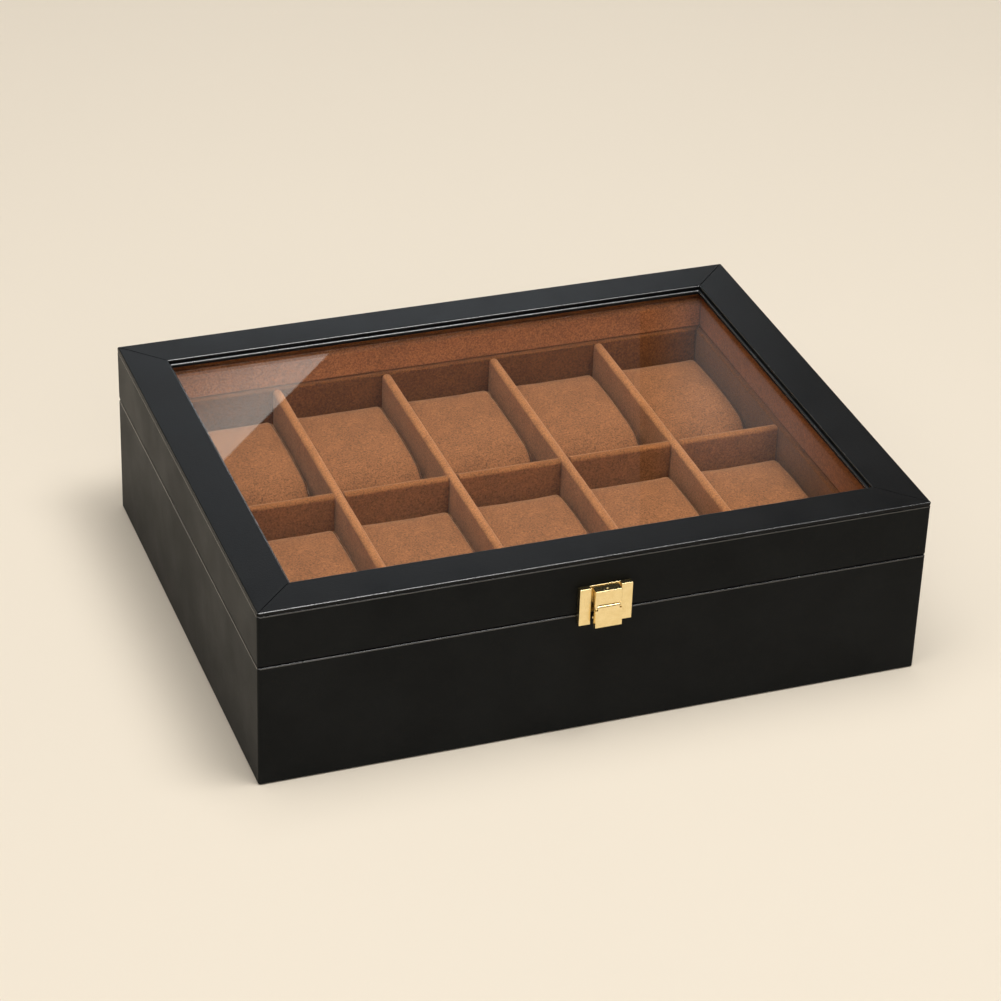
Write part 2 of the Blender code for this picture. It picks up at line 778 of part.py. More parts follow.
def add_latch_block():
    """The block over the lever, whose two lugs hold the lever's pin, and the rivet in its top."""
    block = add_box(
        "latch_block",
        (-BLOCK_HALF, BLOCK_FRONT, BLOCK_LOW),
        (BLOCK_HALF, BLOCK_BACK, BLOCK_TOP),
        BRASS_MATERIAL,
    )
    round_all(block, LATCH_EDGE)
    radius = LEVER_KNUCKLE_RADIUS
    lug_top = BLOCK_LOW + radius
    lug_outline = [
        *arc((PIVOT_Y, PIVOT_Z), radius, 180, 360),
        (PIVOT_Y + radius, lug_top),
        (PIVOT_Y - radius + LEVER_PROUD, lug_top),
        (PIVOT_Y - radius + LEVER_PROUD, BLOCK_LOW),
    ]
    for side in (-1, 1):
        lug = add_outline(f"latch_lug_{side + 1}", lug_outline, LUG_WIDTH, cutter=True)
        lug.location.x = side * (BLOCK_HALF - LUG_WIDTH / 2)
        join(block, lug)
    pin_bore = add_rod(
        "latch_lug_bore",
        (0, PIVOT_Y, PIVOT_Z),
        LEVER_PIN_RADIUS + PIN_PLAY,
        LATCH_WIDTH,
        ALONG_X,
        PIN_FACETS,
        cutter=True,
    )
    rivet_y = (BLOCK_FRONT + BLOCK_BACK) / 2
    rivet_bore = add_rod(
        "latch_rivet_bore",
        (0, rivet_y, BLOCK_TOP),
        RIVET_RADIUS + PIN_PLAY,
        2 * (RIVET_DEPTH + FIT_GAP),
        UPRIGHT,
        PIN_FACETS,
        cutter=True,
    )
    cut(block, pin_bore, rivet_bore)
    rivet_length = RIVET_DEPTH + RIVET_PROUD
    rivet = add_rod(
        "latch_rivet",
        (0, rivet_y, BLOCK_TOP + RIVET_PROUD - rivet_length / 2),
        RIVET_RADIUS,
        rivet_length,
        UPRIGHT,
        PIN_FACETS,
        BRASS_MATERIAL,
    )
    pin = add_rod(
        "latch_pin",
        (0, PIVOT_Y, PIVOT_Z),
        LEVER_PIN_RADIUS,
        2 * BLOCK_HALF,
        ALONG_X,
        PIN_FACETS,
        STEEL_MATERIAL,
    )
    return [block, rivet, pin]


def add_latch_spring():
    """A bent leaf spring that stands on the plate and bears on the back of the lever's knuckle."""
    back = PLATE_FRONT - FIT_GAP - SPRING_THICKNESS / 2
    tip = PIVOT_Y + LEVER_KNUCKLE_RADIUS + FIT_GAP + SPRING_THICKNESS / 2
    bend = BLOCK_LOW - SPLIT - SPRING_THICKNESS
    foot = SEAM_HEIGHT + LATCH_PLATE_RAISE + SPRING_THICKNESS
    reach = back - tip
    path = [
        (back, foot),
        (back, bend - reach / 2),
        (back - reach / 4, bend - reach / 6),
        (back - reach * 3 / 4, bend),
        (tip, PIVOT_Z),
    ]
    shape = bmesh.new()
    rows = []
    for side in (-1, 1):
        rows.append([shape.verts.new((side * SPRING_WIDTH / 2, y, z)) for y, z in path])
    for number in range(len(path) - 1):
        shape.faces.new((rows[0][number], rows[1][number], rows[1][number + 1], rows[0][number + 1]))
    spring = add_object("latch_spring", shape, (0, 0, 0), STEEL_MATERIAL)
    wall = spring.modifiers.new("strip", "SOLIDIFY")
    wall.thickness = SPRING_THICKNESS
    wall.offset = 0
    return spring


def add_latch_lever():
    """The lever: a knuckle between the lugs, a thick tongue below it and the hook behind."""
    radius = LEVER_KNUCKLE_RADIUS
    shoulder = LEVER_SHOULDER
    toe = (LEVER_FRONT - LEVER_FLARE + LEVER_TOE_RADIUS, LEVER_FOOT + LEVER_TOE_RADIUS)
    body_outline = [
        (LEVER_FRONT, PIVOT_Z),
        *arc(toe, LEVER_TOE_RADIUS, 180, 270),
        (LEVER_BACK, LEVER_FOOT),
        (LEVER_BACK, shoulder),
        (PIVOT_Y + radius, shoulder),
        *arc((PIVOT_Y, PIVOT_Z), radius, 0, 170),
    ]
    lever = add_outline("latch_lever", body_outline, 2 * BLOCK_HALF, BRASS_MATERIAL)
    round_all(lever, LATCH_EDGE, facets=1)
    for side in (-1, 1):
        edge = BLOCK_HALF - LUG_WIDTH - LUG_GAP
        low, high = sorted((side * edge, side * (BLOCK_HALF + OVERRUN)))
        notch = add_box(
            f"lever_notch_{side + 1}",
            (low, LEVER_FRONT - OVERRUN, shoulder),
            (high, LEVER_BACK + OVERRUN, BLOCK_TOP),
            cutter=True,
        )
        cut(lever, notch)
    hook = add_box(
        "lever_hook",
        (-HOOK_WIDTH / 2, LEVER_BACK - LEVER_KNUCKLE_RADIUS, LEVER_FOOT),
        (HOOK_WIDTH / 2, HOOK_TIP, LEVER_FOOT + HOOK_HEIGHT),
        cutter=True,
    )
    join(lever, hook)
    bore = add_rod(
        "lever_bore",
        (0, PIVOT_Y, PIVOT_Z),
        LEVER_PIN_RADIUS + PIN_PLAY,
        LATCH_WIDTH,
        ALONG_X,
        PIN_FACETS,
        cutter=True,
    )
    cut(lever, bore)
    return lever


def add_latch_keeper():
    """The catch on the base: a plate with a ledge that the hook reaches just under."""
    top = SEAM_HEIGHT - KEEPER_DROP
    ledge_tip = HOOK_TIP + FIT_GAP
    plate_front = LATCH_BACK - KEEPER_PLATE
    foot = top - KEEPER_HEIGHT
    outline = [
        (LATCH_BACK, top),
        (ledge_tip, top),
        (ledge_tip, top - LEDGE_HEIGHT),
        (plate_front, top - LEDGE_HEIGHT),
        (plate_front, foot),
        (LATCH_BACK, foot),
    ]
    return add_outline("latch_keeper", outline, KEEPER_WIDTH, BRASS_MATERIAL)


def build():
    pockets = add_hinge_pockets()
    leather_groove = add_groove("leather_groove", STOP_GAP / 2)
    board_groove = add_groove("board_groove", STOP_GAP / 2 + SKIN)
    add_base(pockets, leather_groove, board_groove)
    add_tray_shell()
    add_dividers()
    add_cushions()
    add_latch_keeper()
    lid_pieces = add_lid(pockets, leather_groove, board_groove)
    lid_pieces += add_hinges()
    lid_pieces.append(add_latch_housing())
    lid_pieces += add_latch_block()
    lid_pieces.append(add_latch_spring())
    lid_hinge = add_pivot("lid_hinge", (0, HINGE_Y, SEAM_HEIGHT))
    lever_pivot = add_pivot("lever_pivot", (0, PIVOT_Y, PIVOT_Z))
    attach([add_latch_lever()], lever_pivot)
    attach([*lid_pieces, lever_pivot], lid_hinge)


clear_scene()
PARTS = make_collection("watch_box")
CUTTERS = make_collection("cutters")
BLACK_LEATHER_MATERIAL = make_material("black_leather", BLACK_LEATHER, 0.45)
TAN_SUEDE_MATERIAL = make_material("tan_suede", TAN_SUEDE, 0.95)
RAW_BOARD_MATERIAL = make_material("raw_board", RAW_BOARD, 0.80)
BLACK_FELT_MATERIAL = make_material("black_felt", BLACK_FELT, 1.0)
BRASS_MATERIAL = make_material("brass", BRASS, 0.22, metallic=1.0)
STEEL_MATERIAL = make_material("steel", STEEL, 0.30, metallic=1.0)
GLASS_MATERIAL = make_material("clear_glass", CLEAR_GLASS, 0.02, transmission=1.0)
build()
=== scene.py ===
"""Looks of the glazed watch box: black leatherette, tan suede, brass and glass round the fixed solids.

Units are metres and +Z is up, in the frame of the solids. Pixels are those of the 1001 x 1001 photograph.
"""

import math

import bmesh
import bpy
from mathutils import Matrix, Vector, noise


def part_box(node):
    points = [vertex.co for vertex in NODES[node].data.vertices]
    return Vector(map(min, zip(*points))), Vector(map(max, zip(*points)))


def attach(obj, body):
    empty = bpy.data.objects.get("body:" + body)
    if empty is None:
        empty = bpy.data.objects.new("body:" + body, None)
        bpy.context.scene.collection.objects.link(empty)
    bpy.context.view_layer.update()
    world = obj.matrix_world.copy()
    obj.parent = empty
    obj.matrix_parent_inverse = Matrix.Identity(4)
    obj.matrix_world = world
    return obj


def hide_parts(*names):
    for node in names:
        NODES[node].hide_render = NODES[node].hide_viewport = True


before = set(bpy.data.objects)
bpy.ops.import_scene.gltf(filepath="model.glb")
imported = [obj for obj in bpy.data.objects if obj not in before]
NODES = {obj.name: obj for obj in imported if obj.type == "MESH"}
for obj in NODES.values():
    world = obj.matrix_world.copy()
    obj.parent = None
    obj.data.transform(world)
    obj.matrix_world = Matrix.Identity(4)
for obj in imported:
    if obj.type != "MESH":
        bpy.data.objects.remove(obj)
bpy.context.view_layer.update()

MM = 0.001

# The camera, at the photograph's angle
IMAGE_SIDE = 1001
FOCAL_PIXELS = 3270
SENSOR = 36.0
CAMERA_PLACE = Vector((-0.4620, -1.2128, 0.8354))
CAMERA_AZIMUTH = -20.70
CAMERA_ELEVATION = 31.32
CAMERA_ROLL = 2.09
CLIP_START = 0.05
CLIP_END = 50

# The studio's floor, which sweeps up into a low wall
FLOOR_RADIUS = 3.2
SWEEP_RADIUS = 0.8
SWEEP_HEIGHT = 1.7
SWEEP_STEPS = 12
FLOOR_SIDES = 96
FLOOR_JOIN = 0.5 * MM
FLOOR_COLOUR = (0.83, 0.745, 0.62)
FLOOR_SHADE = 0.985
FLOOR_MOTTLE = 0.25
WORLD_COLOUR = (0.056, 0.060, 0.066)

# Each lamp's place, width, height, power and colour. All are aimed at the middle of the box
LAMP_AIM = (0, 0, 0.04)
LAMPS = {
    "key_softbox": ((0.55, -0.50, 2.5), 1.0, 1.0, 26, (1.0, 0.99, 0.975)),
    "top_softbox": ((-0.1, -0.05, 2.6), 2.0, 2.0, 41, (1.0, 0.99, 0.975)),
    "left_softbox": ((-1.5, -0.4, 2.1), 1.4, 1.4, 7.8, (1.0, 0.975, 0.94)),
    "front_softbox": ((-0.3, -2.6, 1.9), 2.4, 1.8, 13, (1.0, 0.985, 0.96)),
}

# Glowing cards, each laid out by the pixels at which the glass's level mirrors its corners. A ramp is an axis
# of the card, the two places on it and the two shares of the strength there.
# The glare at the back left of the glass has its sharp edge through these two pixels
GLARE_EDGE = ((227, 456), (333, 349))
GLARE_REACH = 330
GLARE_WIDTH = 700
GLARE_STRENGTH = 1.10
GLARE_COLOUR = (0.96, 0.98, 0.92)
GLARE_RAMPS = (("X", 0.0, 0.15, 1.0, 0.42),)
GLARE_DISTANCE = 1.6
# A fainter one is at the back right, with a trace of it further down
VEIL_PIXELS = ((640, 394), (640, 100), (800, 100), (800, 394))
VEIL_STRENGTH = 0.55
VEIL_RAMPS = (("X", 0.0, 0.10, 0.0, 1.0), ("X", 0.35, 0.95, 1.0, 0.0), ("Y", 0.0, 0.30, 0.0, 1.0))
HAZE_PIXELS = ((640, 540), (640, 260), (880, 260), (880, 540))
HAZE_STRENGTH = 0.20
HAZE_RAMPS = (("X", 0.0, 0.3, 0.0, 1.0), ("X", 0.6, 1.0, 1.0, 0.0), ("Y", 0.0, 0.45, 0.0, 1.0))
VEIL_COLOUR = (0.75, 0.92, 1.0)
# One behind the box lights the leather of the top frame
BACK_PIXELS = ((0, 356), (0, -420), (700, -420), (700, 258))
BACK_DISTANCE = 0.9
BACK_STRENGTH = 2.3
BACK_COLOUR = (0.86, 0.93, 1.0)
BACK_RAMPS = (("X", 0.0, 1.0, 0.84, 1.30), ("Y", 0.0, 1.0, 1.0, 0.5))

# How large the grains of each material are, and how high they stand
PEBBLE = 0.75 * MM
PORE = 0.3 * MM
LEATHER_CLOUD = 28 * MM
LEATHER_RELIEF = 0.045 * MM
SPECKLE = 0.85 * MM
FIBRE = 0.4 * MM
SUEDE_PATCH = 17 * MM
SUEDE_RELIEF = 0.12 * MM
BRUSHING = 0.16 * MM
BRASS_CLOUD = 3.0 * MM
DRAWN_LINE = 0.12 * MM
METAL_RELIEF = 0.004 * MM
BOARD_FIBRE = 0.7 * MM
BOARD_RELIEF = 0.08 * MM
TUFT = 1.1 * MM
FELT_RELIEF = 0.25 * MM
WIPING = 14 * MM

# How far the edges of each kind of node are rounded
EDGE_ROUNDING = {
    "brass": 0.22 * MM,
    "black_leather": 0.45 * MM,
    "tan_suede": 0.45 * MM,
    "clear_glass": 0.15 * MM,
    "raw_board": 0.20 * MM,
    "black_felt": 0.20 * MM,
    "steel": 0.05 * MM,
}
RAIL_ROUNDING = 0.07 * MM
ROUNDING_SEGMENTS = 3
EDGE_ANGLE = 38.0
FLAT_ANGLE = 1.0
WELD_DISTANCE = 0.07 * MM
FINE_WELD = 0.004 * MM
# These already have fine roundings of their own, which are left as they are
FINE_NODES = ("latch_block", "latch_lever", "window_lip")
# A face gets the edge leather, whose lighter colour is a painted highlight, on a rounded upper edge: when its
# normal rises at least so far and has no part along any axis as large as this, which is less on the rails to
# keep the highlight line thin
LEAST_RISE = 0.2
OBLIQUE = 0.985
RAIL_OBLIQUE = 0.90

# The suede pillows: the slack cover, what the simulation may do with it, and the seams
PILLOW_KINDS = 3
PILLOW_STEP = 2.3 * MM
START_INSET = 0.7 * MM
BASE_ROUND = 2.0 * MM
BACK_ROUND = 6.5 * MM
FRONT_ROUND = 14.0 * MM
PILLOW_CROWN = 1.2 * MM
GATHER = 0.35 * MM
GATHER_SIZE = 7 * MM
GATHER_SEED = 5
KIND_SHIFT = 7.3
PILLOW_PRESSURE = 130.0
PILLOW_MASS = 0.0006
PILLOW_CAP = 2.2 * MM
PILLOW_ROOM = 0.45 * MM
SIMULATED_FRAMES = 20
SEAM_INSET = 2.4 * MM
SEAM_DEPTH = 0.75 * MM
SEAM_WIDTH = 0.45 * MM
# The cuts for a seam's furrow, in seam widths from its middle
SEAM_CUTS = (-1.5, -0.75, 0, 0.75, 1.5)
# How far inside the pillow's end each ring of an end panel lies, and how large it is beside the section
PANEL_RINGS = ((0.25 * SEAM_INSET, 0.985), (0, 0.93), (0, 0.75), (0, 0.5), (0, 0.25))


def add_node(tree, kind, inputs=None, **settings):
    """A shader node with its settings, and its inputs as values or as sockets to link."""
    made = tree.nodes.new(kind)
    for name, value in settings.items():
        setattr(made, name, value)
    for name, value in (inputs or {}).items():
        if isinstance(value, bpy.types.NodeSocket):
            tree.links.new(value, made.inputs[name])
        else:
            made.inputs[name].default_value = value
    return made


def start_material(name):
    material = bpy.data.materials.new(name)
    material.use_nodes = True
    tree = material.node_tree
    coordinates = add_node(tree, "ShaderNodeTexCoord").outputs["Object"]
    return material, tree, tree.nodes["Principled BSDF"], coordinates


def add_noise(tree, coordinates, size, detail=2.0, roughness=0.5, distortion=0.0):
    inputs = {
        "Vector": coordinates,
        "Scale": 1 / size,
        "Detail": detail,
        "Roughness": roughness,
        "Distortion": distortion,
    }
    return add_node(tree, "ShaderNodeTexNoise", inputs).outputs["Fac"]


def add_cells(tree, coordinates, size):
    inputs = {"Vector": coordinates, "Scale": 1 / size, "Smoothness": 0.35}
    return add_node(tree, "ShaderNodeTexVoronoi", inputs, feature="SMOOTH_F1").outputs["Distance"]


def stretch(tree, coordinates, scale):
    return add_node(tree, "ShaderNodeMapping", {"Vector": coordinates, "Scale": scale}).outputs["Vector"]


def remap(tree, value, to_low, to_high, low=0.3, high=0.7, **settings):
    """The value with the range from low to high brought to the range from to_low to to_high."""
    inputs = {"Value": value, "From Min": low, "From Max": high, "To Min": to_low, "To Max": to_high}
    return add_node(tree, "ShaderNodeMapRange", inputs, **settings).outputs["Result"]


def mix_colours(tree, factor, first, second, blend="MIX"):
    made = tree.nodes.new("ShaderNodeMix")
    made.data_type = "RGBA"
    made.blend_type = blend
    sockets = {s.identifier: s for s in made.inputs}
    for key, value in (("Factor_Float", factor), ("A_Color", first), ("B_Color", second)):
        if isinstance(value, bpy.types.NodeSocket):
            tree.links.new(value, sockets[key])
        elif isinstance(value, tuple):
            sockets[key].default_value = (*value, 1.0)
        else:
            sockets[key].default_value = value
    return {s.identifier: s for s in made.outputs}["Result_Color"]


def add_maths(tree, operation, first, second):
    made = tree.nodes.new("ShaderNodeMath")
    made.operation = operation
    for socket, value in zip(made.inputs, (first, second)):
        if isinstance(value, bpy.types.NodeSocket):
            tree.links.new(value, socket)
        else:
            socket.default_value = value
    return made.outputs[0]


def bump(tree, shader, height, distance, strength):
    inputs = {"Height": height, "Distance": distance, "Strength": strength}
    tree.links.new(add_node(tree, "ShaderNodeBump", inputs).outputs["Normal"], shader.inputs["Normal"])


def leatherette(name, dark, light, roughness, refraction):
    """Black coated cloth with a fine pebbled grain and a soft, uneven shine."""
    material, tree, shader, place = start_material(name)
    pebbles = add_cells(tree, place, PEBBLE)
    pores = add_noise(tree, place, PORE)
    clouds = add_noise(tree, place, LEATHER_CLOUD, detail=3)
    colour = mix_colours(tree, remap(tree, clouds, 0, 1), dark, light)
    tree.links.new(colour, shader.inputs["Base Color"])
    tree.links.new(remap(tree, clouds, *roughness), shader.inputs["Roughness"])
    shader.inputs["IOR"].default_value = refraction
    grain = add_maths(tree, "MULTIPLY", pebbles, -0.8)
    grain = add_maths(tree, "ADD", grain, pores)
    bump(tree, shader, grain, LEATHER_RELIEF, 0.85)
    return material


def suede(name, light, dark, nap=1.0, furrow_shade_and_thread=None):
    """Tan suede cloth: a fine speckled nap, with cloudy patches where it lies another way.

    Where a seam colour is given, the mesh's furrow attribute brings that colour in: painted shade in the
    seam's furrow, with the dark of the thread.
    """
    material, tree, shader, place = start_material(name)
    speckle = add_noise(tree, place, SPECKLE, detail=3, roughness=0.7)
    fibre = add_noise(tree, place, FIBRE, roughness=0.6)
    patches = add_noise(tree, place, SUEDE_PATCH, detail=5, roughness=0.65, distortion=0.8)
    base = mix_colours(tree, remap(tree, patches, 0, 1, 0.32, 0.68), dark, light)
    grain = remap(tree, speckle, 1 - 0.5 * nap, 1 + 0.42 * nap)
    shade = add_node(tree, "ShaderNodeCombineColor", {"Red": grain, "Green": grain, "Blue": grain})
    colour = mix_colours(tree, 1.0, base, shade.outputs["Color"], blend="MULTIPLY")
    if furrow_shade_and_thread:
        # The seam colour darkens the furrow: painted shade in the crease, with the dark of the thread
        furrow = add_node(tree, "ShaderNodeAttribute", attribute_name="furrow").outputs["Fac"]
        colour = mix_colours(tree, add_maths(tree, "MULTIPLY", furrow, 0.9), colour, furrow_shade_and_thread)
    tree.links.new(colour, shader.inputs["Base Color"])
    tree.links.new(remap(tree, fibre, 0.88, 1.0, 0.2, 0.8), shader.inputs["Roughness"])
    shader.inputs["Specular IOR Level"].default_value = 0.2
    shader.inputs["Sheen Weight"].default_value = 0.25
    shader.inputs["Sheen Roughness"].default_value = 0.45
    shader.inputs["Sheen Tint"].default_value = (0.95, 0.68, 0.48, 1.0)
    height = add_maths(tree, "ADD", speckle, add_maths(tree, "MULTIPLY", fibre, 0.6))
    bump(tree, shader, height, SUEDE_RELIEF, 0.7)
    return material


def brass():
    """Pale satin brass with a fine upright brushing."""
    material, tree, shader, place = start_material("satin_brass")
    brushed = add_noise(tree, stretch(tree, place, (1.0, 1.0, 0.06)), BRUSHING, detail=3)
    clouds = add_noise(tree, place, BRASS_CLOUD)
    colour = mix_colours(tree, remap(tree, clouds, 0, 1), (0.90, 0.71, 0.36), (0.97, 0.79, 0.43))
    tree.links.new(colour, shader.inputs["Base Color"])
    tree.links.new(remap(tree, brushed, 0.18, 0.30, 0.25, 0.75), shader.inputs["Roughness"])
    shader.inputs["Metallic"].default_value = 1.0
    bump(tree, shader, brushed, METAL_RELIEF, 0.6)
    return material


def steel():
    """Steel with fine lines along x from drawing."""
    material, tree, shader, place = start_material("plain_steel")
    drawn = add_noise(tree, stretch(tree, place, (0.1, 1.0, 1.0)), DRAWN_LINE)
    colour = mix_colours(tree, drawn, (0.50, 0.50, 0.50), (0.62, 0.62, 0.61))
    tree.links.new(colour, shader.inputs["Base Color"])
    tree.links.new(remap(tree, drawn, 0.25, 0.40, 0.2, 0.8), shader.inputs["Roughness"])
    shader.inputs["Metallic"].default_value = 1.0
    bump(tree, shader, drawn, METAL_RELIEF, 0.5)
    return material


def fibreboard():
    material, tree, shader, place = start_material("raw_fibreboard")
    fibres = add_noise(tree, stretch(tree, place, (0.35, 0.35, 1.0)), BOARD_FIBRE, detail=5, roughness=0.7)
    colour = mix_colours(tree, remap(tree, fibres, 0, 1), (0.23, 0.14, 0.075), (0.42, 0.29, 0.17))
    tree.links.new(colour, shader.inputs["Base Color"])
    tree.links.new(remap(tree, fibres, 0.75, 0.95), shader.inputs["Roughness"])
    bump(tree, shader, fibres, BOARD_RELIEF, 0.6)
    return material


def felt():
    material, tree, shader, place = start_material("black_felt")
    tufts = add_noise(tree, place, TUFT, detail=6, roughness=0.75, distortion=1.2)
    colour = mix_colours(tree, remap(tree, tufts, 0, 1), (0.009, 0.009, 0.010), (0.030, 0.030, 0.032))
    tree.links.new(colour, shader.inputs["Base Color"])
    tree.links.new(remap(tree, tufts, 0.9, 1.0), shader.inputs["Roughness"])
    shader.inputs["Sheen Weight"].default_value = 0.3
    bump(tree, shader, tufts, FELT_RELIEF, 0.8)
    return material


def clear_glass():
    """Polished glass with a trace of wiping haze. Lamps shine straight through it."""
    material, tree, shader, place = start_material("clear_glass")
    wiped = add_noise(tree, stretch(tree, place, (1.0, 0.25, 1.0)), WIPING, detail=4, roughness=0.6)
    haze = remap(tree, wiped, 0, 1, 0.4, 0.7)
    tint = mix_colours(tree, haze, (0.985, 0.993, 0.990), (0.965, 0.975, 0.973))
    tree.links.new(tint, shader.inputs["Base Color"])
    shader.inputs["Roughness"].default_value = 0.0
    shader.inputs["Transmission Weight"].default_value = 1.0
    shader.inputs["IOR"].default_value = 1.5
    lamp_ray = add_node(tree, "ShaderNodeLightPath").outputs["Is Shadow Ray"]
    through = add_node(tree, "ShaderNodeBsdfTransparent", {"Color": (0.93, 0.94, 0.935, 1.0)})
    both = add_node(tree, "ShaderNodeMixShader", {"Fac": lamp_ray})
    tree.links.new(shader.outputs["BSDF"], both.inputs[1])
    tree.links.new(through.outputs["BSDF"], both.inputs[2])
    tree.links.new(both.outputs["Shader"], tree.nodes["Material Output"].inputs["Surface"])
    return material


MATERIALS = {
    "black_leather": leatherette(
        "black_leatherette", (0.0064, 0.0074, 0.0080), (0.0100, 0.0112, 0.0118), (0.40, 0.50), 1.16
    ),
    "tan_suede": suede("tan_suede_lining", (0.262, 0.096, 0.029), (0.204, 0.074, 0.022)),
    "raw_board": fibreboard(),
    "black_felt": felt(),
    "brass": brass(),
    "steel": steel(),
    "clear_glass": clear_glass(),
}
# The last colour is the seam's: painted shade in its furrow, with the dark of the thread
PILLOW_SUEDE = suede(
    "tan_suede_pillow", (0.266, 0.105, 0.039), (0.198, 0.078, 0.029), 1.1, (0.03, 0.011, 0.004)
)
# Copies of the same cloths in lighter or darker colours for how light falls on each part, which is painted
# light and shade: the cross dividers' sides lighter, the walls darker, the lid's back liner lighter than its
# other liners, and the frame's leather darker and glossier than the wrap's on the sides. The last name that
# fits a node counts
NODE_MATERIALS = {
    "tray_cross_divider": suede("tan_suede_painted_light", (0.38, 0.152, 0.055), (0.30, 0.118, 0.042)),
    "tray_wall": suede("tan_suede_walls_painted_shade", (0.180, 0.059, 0.014), (0.138, 0.045, 0.010)),
    "lid_liner": suede("tan_suede_lid", (0.296, 0.090, 0.023), (0.231, 0.070, 0.018)),
    "lid_liner_back": suede("tan_suede_lid_back_painted_light", (0.42, 0.150, 0.050), (0.33, 0.117, 0.039)),
    "lid_rail": leatherette(
        "black_leatherette_frame", (0.0046, 0.0048, 0.0052), (0.0082, 0.0083, 0.0086), (0.36, 0.45), 1.22
    ),
}
# The rounded edges of the coated cloth are glossier where it is drawn tight, and their lighter colour is a
# painted highlight
EDGE_HIGHLIGHT_LEATHER = leatherette(
    "leatherette_edge_painted_highlight", (0.012, 0.013, 0.014), (0.022, 0.023, 0.024), (0.20, 0.30), 2.0
)


def node_material(name, kind):
    fitting = [material for start, material in NODE_MATERIALS.items() if name.startswith(start)]
    return fitting[-1] if fitting else MATERIALS[kind]


def drop_face_marks(mesh):
    """Leave out the normals and sharp edges that came with the triangles."""
    for name in ("custom_normal", "sharp_face", "sharp_edge"):
        if name in mesh.attributes:
            mesh.attributes.remove(mesh.attributes[name])
    mesh.shade_smooth()


def paint_edge_highlights(mesh, oblique):
    """Give the faces of the rounded upper edges the edge leather, with its painted highlight, as the mesh's
    second material.
    """
    mesh.materials.append(EDGE_HIGHLIGHT_LEATHER)
    for face in mesh.polygons:
        if face.normal.z > LEAST_RISE and max(abs(part) for part in face.normal) < oblique:
            face.material_index = 1


def dress_node(thing):
    """The node's own shape, with its triangles joined, its edges eased and its material in place."""
    kind = thing.material_slots[0].material.name.split(".")[0]
    thing.material_slots[0].material = node_material(thing.name, kind)
    drop_face_marks(thing.data)
    fine = thing.name in FINE_NODES
    rail = thing.name.startswith("lid_rail")
    weld = thing.modifiers.new("joined", "WELD")
    weld.merge_threshold = FINE_WELD if fine or rail else WELD_DISTANCE
    flat = thing.modifiers.new("whole_faces", "DECIMATE")
    flat.decimate_type = "DISSOLVE"
    flat.angle_limit = math.radians(FLAT_ANGLE)
    eased = thing.modifiers.new("eased_edges", "BEVEL")
    eased.width = RAIL_ROUNDING if rail else EDGE_ROUNDING[kind]
    eased.segments = ROUNDING_SEGMENTS
    eased.limit_method = "ANGLE"
    eased.angle_limit = math.radians(EDGE_ANGLE)
    eased.use_clamp_overlap = fine
    # The leather's rounded edges get the edge leather: glossier, and lighter as a painted highlight
    if kind == "black_leather":
        paint_edge_highlights(thing.data, RAIL_OBLIQUE if rail else OBLIQUE)
        if not rail:
            eased.material = 1
    normals = thing.modifiers.new("even_normals", "WEIGHTED_NORMAL")
    normals.weight = 100


def link(thing):
    bpy.context.scene.collection.objects.link(thing)
    return thing


def evaluated_mesh(thing):
    graph = bpy.context.evaluated_depsgraph_get()
    return bpy.data.meshes.new_from_object(thing.evaluated_get(graph))


def replace_mesh(thing, mesh):
    thing.modifiers.clear()
    old = thing.data
    thing.data = mesh
    bpy.data.meshes.remove(old)


def on_arc(centre, radius, degrees):
    angle = math.radians(degrees)
    return centre[0] + radius * math.cos(angle), centre[1] + radius * math.sin(angle)


def arc_points(centre, radius, first, last):
    """Evenly spaced points of an arc, without its last one."""
    steps = max(2, round(math.radians(last - first) * radius / PILLOW_STEP))
    return [on_arc(centre, radius, first + (last - first) * step / steps) for step in range(steps)]


def straight_points(start, end, rise):
    """Evenly spaced points from start up to end, without end, bowed upwards by rise."""
    count = max(1, round(math.dist(start, end) / PILLOW_STEP))
    shares = [step / count for step in range(count)]
    return [
        (start[0] + (end[0] - start[0]) * t, start[1] + (end[1] - start[1]) * t + rise * 4 * t * (1 - t))
        for t in shares
    ]


def pillow_profile(half_y, height):
    """The pillow's section in y and z: flat below, a tight back edge, a crown and a long front fall."""
    corners = (
        ((half_y - BASE_ROUND, BASE_ROUND), BASE_ROUND, -90, 0),
        ((half_y - BACK_ROUND, height - BACK_ROUND), BACK_ROUND, 0, 90),
        ((-half_y + FRONT_ROUND, height - FRONT_ROUND), FRONT_ROUND, 90, 180),
        ((-half_y + BASE_ROUND, BASE_ROUND), BASE_ROUND, 180, 270),
    )
    rises = (0.0, PILLOW_CROWN, 0.0, 0.0)
    points = []
    for index, ((centre, radius, first, last), rise) in enumerate(zip(corners, rises)):
        points += arc_points(centre, radius, first, last)
        next_centre, next_radius, next_first, _ = corners[(index + 1) % len(corners)]
        start = on_arc(centre, radius, last)
        points += straight_points(start, on_arc(next_centre, next_radius, next_first), rise)
    return points


def pillow_rings(half):
    """Where each ring lies along x and its size beside the section: a panel, the cover, a panel."""
    end_x = half.x - START_INSET
    seam_x = half.x - SEAM_INSET
    count = round(2 * seam_x / PILLOW_STEP)
    cover = [(-seam_x + 2 * seam_x * step / count, 1.0) for step in range(count + 1)]
    panel = [(end_x - inside, share) for inside, share in PANEL_RINGS]
    return [(-x, share) for x, share in reversed(panel)] + cover + panel


def by_seam(x, half):
    return abs(abs(x) - (half.x - SEAM_INSET)) < PILLOW_STEP / 4


